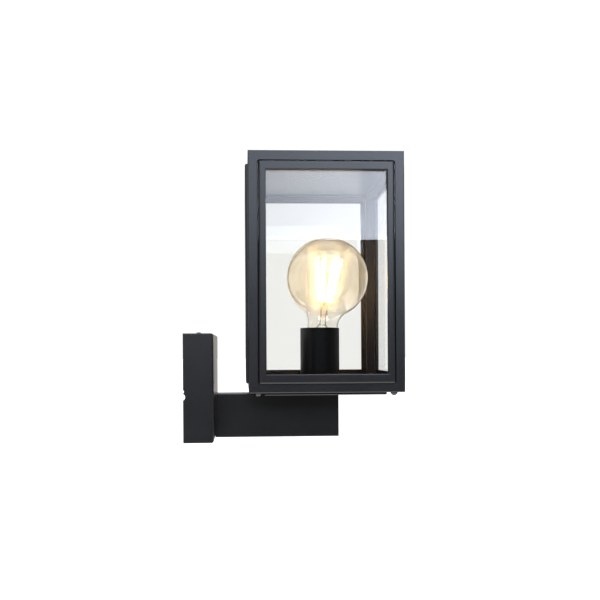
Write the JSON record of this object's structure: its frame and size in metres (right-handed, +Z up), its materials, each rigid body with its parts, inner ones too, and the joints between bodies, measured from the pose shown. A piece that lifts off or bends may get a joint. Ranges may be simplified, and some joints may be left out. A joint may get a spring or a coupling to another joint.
{
  "type": "wall lantern",
  "caption": "Square glazed outdoor lantern standing on a cantilever arm from a wall box, with a screw-in globe bulb in a tall cup.",
  "frame": {"origin": "centre of the two wall screw slots, on the wall plane", "axes": "+X away from the wall, +Z up, Y along the wall"},
  "size_m": [0.24, 0.172, 0.3138],
  "materials": {
    "coat": "fine-textured black powder coat",
    "stainless": "bright stainless steel",
    "black_steel": "blackened stainless steel",
    "zinc_plate": "bright zinc plate",
    "clear_glass": "clear, polished",
    "amber_glass": "pale amber tint, polished",
    "seal_rubber": "matt black",
    "porcelain": "unglazed white",
    "brass": "bright",
    "gilt_wire": "bright, lit by the filaments",
    "nickel_plate": "satin nickel plate",
    "insulator": "glossy black",
    "terminal_plastic": "natural white",
    "driver_board": "green lacquer",
    "filament": "yellow phosphor coat",
    "live_insulation": "brown",
    "neutral_insulation": "blue",
    "earth_insulation": "green and yellow"
  },
  "bodies": {
    "fixed": {"wall_bracket": "zinc_plate", "cable_grommet": "seal_rubber", "earth_screw": "brass", "earth_lug": "stainless", "box_gasket": "seal_rubber", "wall_box": "coat", "box_screws": "stainless", "terminal_block": "terminal_plastic", "terminal_screws": "brass", "block_screws": "stainless", "arm_screws": "stainless", "arm_root_plug": "zinc_plate", "arm_tube": "coat", "arm_end_cap": "coat", "tray_gasket": "seal_rubber", "base_tray": "coat", "tray_screws": "stainless", "tray_seal": "seal_rubber", "corner_screws": "black_steel", "holder_nipple": "zinc_plate", "nipple_nuts": "zinc_plate", "holder_cup": "coat", "holder_bracket": "zinc_plate", "holder_side_screws": "stainless", "holder_body": "porcelain", "screw_shell": "brass", "centre_contact": "brass", "lead_live": "live_insulation", "lead_neutral": "neutral_insulation", "lead_earth": "earth_insulation"},
    "housing": {"housing_cage": "coat", "roof_plate": "coat", "roof_seal": "seal_rubber", "roof_screws": "stainless", "ceiling_tray": "coat", "glazing_frame_left": "coat", "glazing_frame_front": "coat", "glazing_frame_right": "coat", "glazing_frame_back": "coat", "pane_left": "clear_glass", "pane_front": "clear_glass", "pane_right": "clear_glass", "pane_back": "clear_glass", "pane_seal_left": "seal_rubber", "pane_seal_front": "seal_rubber", "pane_seal_right": "seal_rubber", "pane_seal_back": "seal_rubber"},
    "bulb_tip": {"bulb_tip": "nickel_plate"},
    "bulb": {"bulb_insulator": "insulator", "bulb_cap": "nickel_plate", "bulb_driver": "driver_board", "bulb_envelope": "amber_glass", "bulb_stem": "clear_glass", "bulb_wires": "gilt_wire", "bulb_filaments": "filament"}
  },
  "joints": [
    {"name": "housing_lift", "type": "slide", "parent": "fixed", "child": "housing", "axis": [0, 0, 1], "range_m": [0, 0.2]},
    {"name": "bulb_rise", "type": "slide", "parent": "fixed", "child": "bulb_tip", "axis": [0.1045, 0, 0.9945], "range_m": [0, 0.0153]},
    {"name": "bulb_turn", "type": "hinge", "parent": "bulb_tip", "child": "bulb", "pos_m": [0.155, 0, 0.038], "axis": [0.1045, 0, 0.9945], "range_deg": [0, 1500]}
  ],
  "couplings": [
    {"joint": "bulb_rise", "follows": "bulb_turn", "m_per_rad": 0.00057757}
  ]
}
